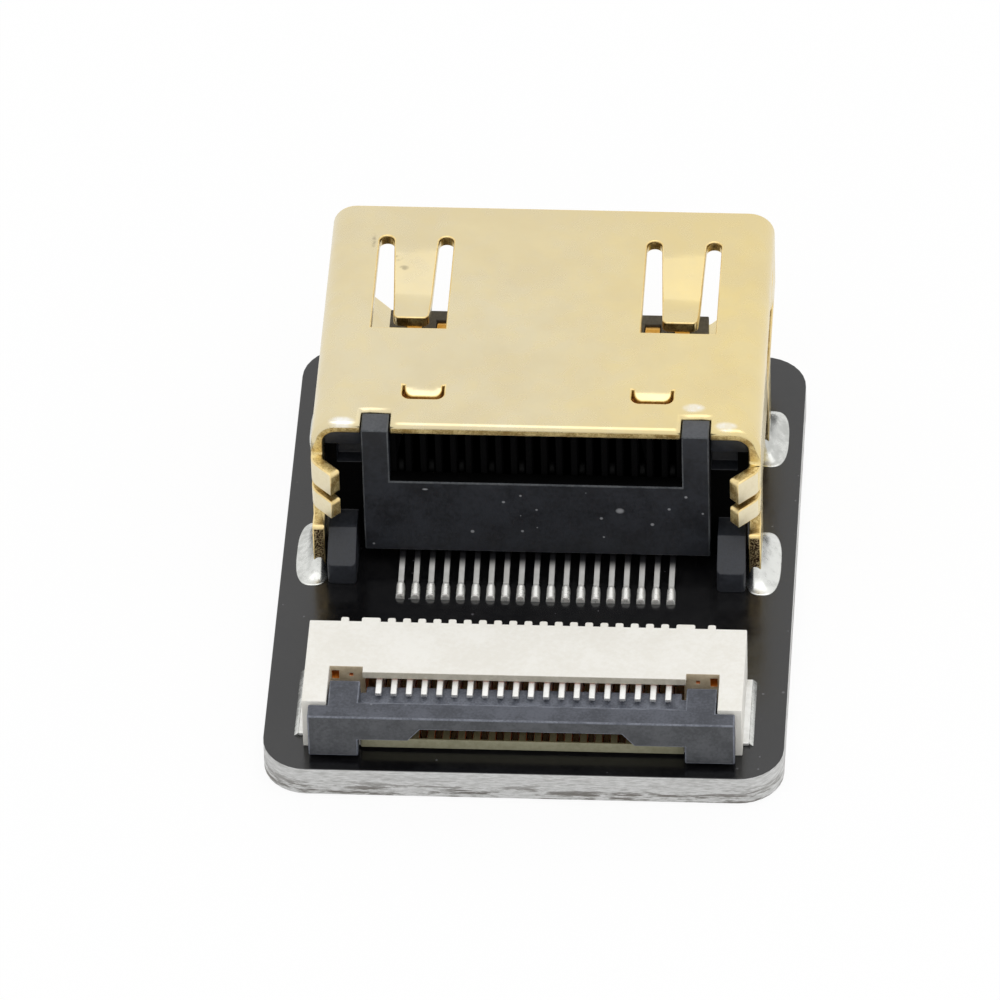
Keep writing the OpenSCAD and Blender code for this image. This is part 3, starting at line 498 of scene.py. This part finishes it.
def merged_copy(name, sources, cuts):
    """The solids of some nodes in one mesh: doubles merged, flat faces joined, split only at level cuts.

    A cut is an axis and a station on it. The cuts run through every window of a flat face, so the
    slanting edges that were left there can be taken out and the rounding meets no sharp corner in a face.
    The sharp outer edges are marked.
    """
    made = bmesh.new()
    for source in sources:
        made.from_mesh(nodes[source].data)
    bmesh.ops.remove_doubles(made, verts=made.verts, dist=MERGE_MM * MM)
    bmesh.ops.dissolve_limit(made, angle_limit=FLAT_ANGLE, verts=made.verts, edges=made.edges)
    for axis, station in cuts:
        way = Vector([float(axis == k) for k in "xyz"])
        bmesh.ops.bisect_plane(made, geom=made.verts[:] + made.edges[:] + made.faces[:], dist=MERGE_MM * MM,
                               plane_co=way * station * MM, plane_no=way)
    if cuts:
        bmesh.ops.dissolve_edges(made, edges=[edge for edge in made.edges if slanting(edge)], use_verts=True)
    outer = made.edges.layers.float.new("outer_edge")
    for edge in made.edges:
        edge[outer] = float(edge.calc_face_angle(0.0) > SHARP_ANGLE and edge.is_convex)
    mesh = bpy.data.meshes.new(name)
    made.to_mesh(mesh)
    made.free()
    mesh.polygons.foreach_set("use_smooth", np.ones(len(mesh.polygons), bool))
    return mesh


def read_vectors(items, field):
    """One vector of each item of a mesh, as rows."""
    values = np.empty(len(items) * 3, np.float32)
    items.foreach_get(field, values)
    return values.reshape(-1, 3)


def share_edges(mesh, points, chosen, weigh):
    """Weigh the sharp outer edges for rounding, but not those whose ends are both rolled already."""
    ends = np.empty(len(mesh.edges) * 2, np.int32)
    outer = np.empty(len(mesh.edges), np.float32)
    mesh.edges.foreach_get("vertices", ends)
    mesh.attributes["outer_edge"].data.foreach_get("value", outer)
    ends = ends.reshape(-1, 2)
    first, last = points[ends[:, 0]], points[ends[:, 1]]
    shares = outer * weigh((first + last) / 2.0, last - first)
    shares[np.isin(ends, chosen).all(axis=1)] = 0.0
    weights = mesh.attributes.new("bevel_weight_edge", "FLOAT", "EDGE")
    weights.data.foreach_set("value", shares.astype(np.float32))


def add_bevel(obj, name, width_mm, segments, material):
    """A rounding that may meet its neighbours."""
    bevel = obj.modifiers.new(name, "BEVEL")
    bevel.width = width_mm * MM
    bevel.segments = segments
    bevel.use_clamp_overlap = False
    bevel.material = material
    return bevel


def dressed(name, sources, body, materials, edge_mm, edge_index=-1, segments=3, face_index=None,
            cuts=(), rolled=None, weigh=None):
    """A copy of solids with rounded edges.

    face_index picks each face's material from its normal and middle. rolled is a width, a rule that picks
    the points of the edges that get that larger rounding first, and the material of that rounding. weigh
    gives the share of edge_mm that an outer edge gets from its middle and its span; inner edges get none.
    """
    mesh = merged_copy(name, sources, cuts)
    for material in materials:
        mesh.materials.append(FINISH[material])
    if face_index is not None:
        normals, middles = read_vectors(mesh.polygons, "normal"), read_vectors(mesh.polygons, "center") / MM
        mesh.polygons.foreach_set("material_index", face_index(normals, middles).astype(np.int32))
    obj = bpy.data.objects.new(name, mesh)
    points = read_vectors(mesh.vertices, "co") / MM
    chosen = np.zeros(0, int)
    if rolled is not None:
        roll_mm, roll_rule, roll_index = rolled
        chosen = np.flatnonzero(roll_rule(points))
        obj.vertex_groups.new(name="rolled_edge").add(chosen.tolist(), 1.0, "REPLACE")
        roll = add_bevel(obj, "rolled_edge", roll_mm, 5, roll_index)
        roll.limit_method = "VGROUP"
        roll.vertex_group = "rolled_edge"
    rounding = add_bevel(obj, "rounded_edges", edge_mm, segments, edge_index)
    rounding.limit_method = "ANGLE"
    rounding.angle_limit = SHARP_ANGLE
    if weigh is not None:
        rounding.limit_method = "WEIGHT"
        share_edges(mesh, points, chosen, weigh)
    obj.modifiers.new("even_shading", "WEIGHTED_NORMAL").weight = 80
    finish_piece(obj, body, sources)


# Rules that pick the material of a face by its place in the list of its piece

def between(values, low, high):
    """Where values lie between two bounds."""
    return (values > low) & (values < high)


def board_faces(normal, middle):
    """Lacquer on the top and the underside, bare laminate on the sawn sides."""
    return np.where(np.abs(normal[:, 2]) > FACING, 0, 1)


def shell_faces(normal, middle):
    """Sheared faces lie across the sheet: they look along Y, or up and down on the tabs and legs.

    The outer faces of the bent tabs are a little matt, with painted light in a paler tone.
    """
    tab_x, tab_top = 6.2, SHELL_TOP - 0.9
    leg_x, leg_top = 6.9, BOARD_TOP + 2.2
    (along_x, along_y, along_z), (x, y, z) = normal.T, middle.T
    upright = np.abs(along_z) < LEVEL_SHARE
    across = np.abs(along_y) > CUT_FACING
    tab_end = (np.abs(along_y) > 0.7) & upright & (along_x * x < 0)
    tab_side = (np.abs(along_z) > FACING) & (np.abs(x) > tab_x) & (z < tab_top)
    leg_end = (along_y < -CUT_FACING) & (np.abs(x) > leg_x) & (z < leg_top)
    tab_face = between(along_y, -FACING, -0.5) & upright & (along_x * x > 0) & (y < REAR_EDGE)
    return np.select([leg_end, across | tab_end | tab_side, tab_face], [3, 1, 4], 0)


def base_faces(normal, middle):
    """The tongue is painted grey as light where the mouth lets it in, the comb near black as painted shade,
    and the insulator under the lances gold as a painted reflection.
    """
    comb_depth, comb_half, comb_floor = 0.7, 4.9, BOARD_TOP + 0.9
    x, y, z = np.abs(middle[:, 0]), middle[:, 1] - REAR_EDGE, middle[:, 2]
    # The comb is painted near black as shade
    comb = (y < comb_depth) & (x < comb_half) & (z > comb_floor)
    # Under the lances the insulator is painted gold, a painted reflection of the lances' walls
    pocket = (np.abs(x - LANCE_X) < 0.9) & (np.abs(y - LANCE_BACK) < 0.5)
    pocket &= between(z, SHELL_TOP - 0.75, SHELL_TOP - 0.33)
    return np.select([comb, pocket, y > 2.2], [1, 3, 2], 0)


def spacer_faces(normal, middle):
    """The tops of the two ribs are painted lighter as light from above; what looks into the recess between
    them is painted near black as shade.
    """
    recess_half, rib_top = 4.7, SHELL_TOP - 0.4
    top = normal[:, 2] > FACING
    # What looks into the recess is painted near black as shade
    inside = (np.abs(middle[:, 0]) < recess_half) & (top | (normal[:, 1] > FACING))
    return np.select([top & (middle[:, 2] > rib_top), inside], [3, 2], 0)


def contact_faces(normal, middle):
    """Tinned tails, a stretch in the comb painted near black as shade, and gilt blades on the tongue."""
    blade_back, comb_floor = REAR_EDGE + 1.2, BOARD_TOP + 0.8
    return np.select([middle[:, 1] > blade_back, middle[:, 2] > comb_floor], [2, 1], 0)


def housing_faces(normal, middle):
    """Off-white outside; tan behind the lug notches, darker on the lip and the sill, and amber on the cable
    floor as painted shade; brown in the slots and orange in the notch pocket as a painted warm glow through
    the pale plastic.
    """
    mark_x, dot_x, notch_x = (6.09, 6.33), (5.62, 5.76), (5.3, 6.4)
    room_half, lip_half, room_back, floor_top, near = 5.24, 5.3, -5.6, 0.5, 0.01
    x, y, z = np.abs(middle[:, 0]), middle[:, 1] - NOTCH_BACK, middle[:, 2]
    front = normal[:, 1] < -FACING
    pocket = between(y, 0.005, 0.31) & between(z, BOARD_TOP + 1.4, HOUSING_TOP - 0.05)
    # The orange spot and the dot in the notch pocket are a painted warm glow
    orange = pocket & between(x, *mark_x)
    dot = pocket & between(x, *dot_x)
    # The notches' back walls are painted tan as shade
    notch = front & (np.abs(y) < near) & between(x, *notch_x)
    # Faces inside the housing carry the painted warm glow
    inside = (x < room_half) & between(z, BOARD_TOP + 0.1, HOUSING_TOP - 0.27)
    inside &= between(y, -1.8, room_back - NOTCH_BACK)
    # The cable floor's top is painted amber as shade
    floor = inside & (normal[:, 2] > FACING) & (np.abs(z - BOARD_TOP - floor_top) < near)
    # The roof's lip and the floor's sill, facing the front, are painted darker as shade
    lip = front & (x < lip_half) & (z > HOUSING_TOP - 0.3)
    sill = front & (x < lip_half) & (z < BOARD_TOP + floor_top + 0.05) & (y < -1.0)
    return np.select([orange, dot, notch, lip, sill, floor, inside], [4, 3, 1, 5, 6, 2, 3], 0)


def fork_faces(normal, middle):
    """Tinned forks; their lower arms down in the floor are painted dark brown as shade."""
    arm_top = BOARD_TOP + 0.9
    return np.where((middle[:, 1] < NOTCH_BACK) & (middle[:, 2] < arm_top), 1, 0)


def slider_faces(normal, middle):
    """The front of the slider is painted darker as shade, its top and sides are grey and the deck under the
    forks is painted paler as light.
    """
    deck_half, deck_front = 5.2, NOTCH_BACK - 1.1
    # The deck under the forks is painted paler as light
    deck = (normal[:, 2] > FACING) & (np.abs(middle[:, 0]) < deck_half) & (middle[:, 1] > deck_front)
    return np.select([normal[:, 1] < -FACING, deck], [2, 1], 0)


# Rules for the edges, in millimetres

ON_PLANE = 0.002


def tooth_ends(points):
    """The corners at the free ends of the comb teeth along the housing's rear."""
    return points[:, 1] > points[:, 1].max() - ON_PLANE


def rear_rim(points):
    """The outer line of the shell's rear edge: over the top, round the notches and round its two bends."""
    x, y, z = points.T
    bend_x, bend_z = SHELL_SIDE - BEND, SHELL_TOP - BEND
    over_bend = np.hypot(np.maximum(np.abs(x) - bend_x, 0.0), z - bend_z) > BEND - 0.01
    notch = (np.abs(y - REAR_EDGE - RIB_NOTCH) < ON_PLANE) & (z > SHELL_TOP - ON_PLANE)
    return (np.abs(y - REAR_EDGE) < ON_PLANE) & (z > bend_z - 0.01) & over_bend | notch


def shell_edges(middle, span):
    """The bent tabs' corners, which run through the sheet, get all of the rounding, the rest a third."""
    tab_back, tab_foot = REAR_EDGE - 0.4, BOARD_TOP + 1.5
    through = (np.abs(span[:, 2]) < 0.01) & (np.abs(np.linalg.norm(span, axis=1) - SHEET) < 0.03)
    return np.where(through & (middle[:, 1] < tab_back) & (middle[:, 2] > tab_foot), 1.0, 0.33)


def spacer_edges(middle, span):
    """The edges inside the recess stay sharp and dark, without the painted edge highlight."""
    recess_half, behind_face = 4.5, SPACER_FACE + 0.1
    return np.where((np.abs(middle[:, 0]) < recess_half) & (middle[:, 1] > behind_face), 0.0, 1.0)


# Cuts through the windows of the shell's top, then of its sides, and through the board's slots
SHELL_CUTS = [("x", side * station) for side in (-1, 1) for station in (4.5, 3.5, 5.5)]
SHELL_CUTS += [("z", station) for station in (5.206, 5.869, 4.65)]
BOARD_CUTS = [("x", -LEG_X), ("x", LEG_X)]

dressed("laminate_board", ["circuit_board"], "board",
        ["solder_mask", "laminate_edge"],
        0.03, face_index=board_faces, cuts=BOARD_CUTS)
dressed("folded_shell", ["socket_shell"], "board",
        ["gold_plate", "gold_cut", "gold_edge", "leg_cut", "tab_gold_painted_light"],
        0.15, edge_index=2, face_index=shell_faces, cuts=SHELL_CUTS,
        rolled=(0.18, rear_rim, 0), weigh=shell_edges)
dressed("moulded_base", ["socket_insulator"], "board",
        ["insulator_black", "comb_painted_shade", "tongue_painted_light", "lance_painted_reflection"],
        0.03, segments=2, face_index=base_faces)
dressed("rear_spacer", ["tail_spacer"], "board",
        ["spacer_black", "spacer_painted_edge_light", "comb_painted_shade", "rib_top"],
        0.05, edge_index=1, face_index=spacer_faces, weigh=spacer_edges)
dressed("socket_contacts", CONTACTS, "board",
        ["contact_tin", "contact_dull", "gold_blade"],
        0.025, segments=2, face_index=contact_faces)
dressed("connector_housing", ["flex_housing"], "board",
        ["housing_white", "housing_notch_painted_shade", "housing_floor_painted_shade", "housing_deep_painted_glow", "mark_painted_glow", "housing_lip_painted_shade",
         "housing_sill_painted_shade"],
        0.03, segments=2, face_index=housing_faces, rolled=(0.1, tooth_ends, -1))
dressed("connector_slider", ["flex_slider"], "slider",
        ["slider_grey", "slider_painted_light", "slider_front_painted_shade"],
        0.05, edge_index=1, face_index=slider_faces)
dressed("connector_forks", FORKS, "board",
        ["fork_tin", "fork_shade"],
        0.03, segments=2, face_index=fork_faces)
dressed("fitting_nails", ["hold_down_left", "hold_down_right"], "board", ["tin_plate"], 0.04)
dressed("fork_fillets", ["flex_solder"], "board", ["solder"], 0.02)


# Solder, worked out as surfaces

def superellipse(angle, lean):
    """The two parts of a boxy circle of radius 1: cosine and sine with their sizes raised to a power."""
    c, d = np.cos(angle), np.sin(angle)
    return np.sign(c) * np.abs(c) ** lean, np.sign(d) * np.abs(d) ** lean


def grid_piece(name, points, around, material, body, replaced):
    """A mesh of grids of points in millimetres, by grid, row and column.

    around joins the last column of each grid to its first.
    """
    grids, rows, columns = points.shape[:3]
    index = np.arange(grids * rows * columns).reshape(grids, rows, columns)
    if around:
        index = np.concatenate([index, index[:, :, :1]], axis=2)
    quads = np.stack([index[:, :-1, :-1], index[:, 1:, :-1], index[:, 1:, 1:], index[:, :-1, 1:]], axis=-1)
    mesh = bpy.data.meshes.new(name)
    mesh.from_pydata((points.reshape(-1, 3) * MM).tolist(), [], quads.reshape(-1, 4).tolist())
    mesh.polygons.foreach_set("use_smooth", np.ones(len(mesh.polygons), bool))
    mesh.materials.append(FINISH[material])
    finish_piece(bpy.data.objects.new(name, mesh), body, replaced)


def leg_menisci():
    """Solder round the four legs: rings about each leg, from its face out to the board and down its slot.

    A ring is a superellipse with a half width and a half length. Outwards the rings widen evenly while
    their height falls with a power of what is left, so the solder is steep at the leg and feathers out
    on the board. The last rings close in to the slot and run down to the underside.
    """
    steps, rings = 120, 26
    outward, start_x, spread_x, start_y, spread_y = 0.235, 0.19, 0.425, -0.02, 0.76
    roundness, round_fall, slot_roundness = 3.4, 0.6, 12.0
    slot_x, slot_y, slot_level, underside = 0.34, 0.14, -0.02, 0.003
    middle_height, climb, fall, brim = 0.55, 0.6, 2.3, 0.05
    turn = np.linspace(0.0, 2.0 * np.pi, steps, endpoint=False)[None, :]
    out = np.linspace(0.0, 1.0, rings)
    legs = [(side, y, half) for side in (-1, 1) for y, half in zip((0.0, LEG_STEP), LEG_HALVES)]
    side, leg_y, leg_half = np.array(legs).T[:, :, None, None]
    centre = np.concatenate([[LEG_X], LEG_X + outward * out, [LEG_X] * 3])[:, None]
    half_x = np.concatenate([[0.0], start_x + spread_x * out, [slot_x, slot_x, 0.0]])[:, None]
    grown_y = np.concatenate([[0.0], start_y + spread_y * out, [slot_y, slot_y, 0.0]])[:, None]
    keep_y = np.concatenate([[0.0], np.ones(rings), [1.0, 1.0, 0.0]])[:, None]
    power = np.concatenate([[roundness], roundness - round_fall * out, [slot_roundness] * 3])[:, None]
    slope = climb * (1.0 - out) ** fall + brim * np.sqrt(1.0 - out ** 6)
    height = BOARD_TOP + np.concatenate([[middle_height], slope, [slot_level]])
    ring_x, ring_y = superellipse(turn, 2.0 / power)
    x = side * (centre + half_x * ring_x)
    y = leg_y + side * (leg_half * keep_y + grown_y) * ring_y
    z = np.broadcast_to(np.concatenate([height, [underside] * 2])[:, None], x.shape)
    return np.stack([x, y, z], axis=-1)


def tail_drops():
    """A bead of solder on each tail: boxy half-round sections along the tail, from its blunt end to its heel.

    A section is the upper half of a superellipse. The height stands up at the end in a tight quarter round,
    climbs evenly towards the heel and falls there in a quarter ellipse, where the width draws in as well.
    """
    blunt, heel, boxy = 0.08, 0.7, 0.7
    start, length, half_width, sunk = -0.02, 0.62, 0.145, 0.003
    low, climb = 0.18, 0.22
    along = np.concatenate([np.linspace(0.0, blunt, 10), np.linspace(0.12, 1.0, 26)])[None, :, None]
    across = np.linspace(0.0, np.pi, 21)[None, None, :]
    count = len(CONTACTS)
    tail_x = ((np.arange(count) - count // 2) * TAIL_PITCH)[:, None, None]
    stand = (1.0 - (1.0 - np.clip(along / blunt, 0.0, 1.0)) ** 3) ** (1.0 / 3.0)
    past = np.sqrt(1.0 - np.clip((along - heel) / (1.0 - heel), 0.0, 1.0) ** 2)
    wide, tall = superellipse(across, boxy)
    x = tail_x + half_width * (0.6 + 0.4 * past) * wide
    y = np.broadcast_to(TAIL_END + start + length * along, x.shape)
    z = np.broadcast_to(BOARD_TOP - sunk + (low + climb * along) * stand * past * np.abs(tall), x.shape)
    return np.stack([x, y, z], axis=-1)


grid_piece("leg_menisci", leg_menisci(), True, "solder", "board", ["leg_solder"])
grid_piece("tail_drops", tail_drops(), False, "bead_tin", "board", ["tail_solder"])


# Floor and light

FLOOR_HALF, FLOOR_DROP = 0.6, 0.00002
FLOOR_WHITE = 0.88  # the share of plain white in what is seen of the floor
TENT_LEVEL, TENT_GAINS = 0.76, (0.11, 0.14, 0.1)  # light from all round, and more of it along X, Y and Z


def floor_finish():
    """A pale floor: an eighth of what is seen is its own shade, with the part's shadow, the rest white."""
    material = bpy.data.materials.new("studio_floor")
    material.use_nodes = True
    tree = material.node_tree
    tree.nodes.clear()
    matt = put(tree, "ShaderNodeBsdfDiffuse", {"Color": tone(238, 238, 238)}).outputs[0]
    white = put(tree, "ShaderNodeEmission", {"Color": WHITE, "Strength": 1.02}).outputs[0]
    share = scaled(tree, seen_rays(tree), FLOOR_WHITE)
    mix = put(tree, "ShaderNodeMixShader", {0: share, 1: matt, 2: white}).outputs[0]
    put(tree, "ShaderNodeOutputMaterial", {0: mix})
    return material


def studio_floor():
    """A flat square just under the board's underside."""
    corners = [(x * FLOOR_HALF, y * FLOOR_HALF, -FLOOR_DROP) for x, y in ((-1, -1), (1, -1), (1, 1), (-1, 1))]
    mesh = bpy.data.meshes.new("studio_floor")
    mesh.from_pydata(corners, [], [(0, 1, 2, 3)])
    mesh.materials.append(floor_finish())
    obj = bpy.data.objects.new("studio_floor", mesh)
    bpy.context.scene.collection.objects.link(obj)


def studio_world():
    """A light tent, brighter beyond the mouth, overhead and to the right, white where seen or mirrored."""
    world = bpy.data.worlds.new("light_tent")
    world.use_nodes = True
    tree = world.node_tree
    level = TENT_LEVEL
    for way, gain in zip(axes(tree, put(tree, "ShaderNodeTexCoord").outputs["Generated"]), TENT_GAINS):
        level = scaled(tree, way, gain, level)
    background = tree.nodes["Background"]
    background.inputs["Color"].default_value = WHITE
    tree.links.new(math_node(tree, "MAXIMUM", level, seen_rays(tree)), background.inputs["Strength"])
    bpy.context.scene.world = world


def lamp(name, place, aim, size, watts):
    """A square lamp at a place, turned to its aim."""
    data = bpy.data.lights.new(name, "AREA")
    data.shape = "SQUARE"
    data.size = size
    data.energy = watts
    obj = bpy.data.objects.new(name, data)
    obj.location = place
    obj.rotation_euler = (Vector(aim) - Vector(place)).to_track_quat("-Z", "Y").to_euler()
    bpy.context.scene.collection.objects.link(obj)


photo_camera()
studio_floor()
studio_world()
lamp("top_softbox", place=(0.03, -0.075, 0.45), aim=(0.0, 0.0, 0.0), size=0.4, watts=0.4)
bpy.context.scene.view_settings.view_transform = "Standard"
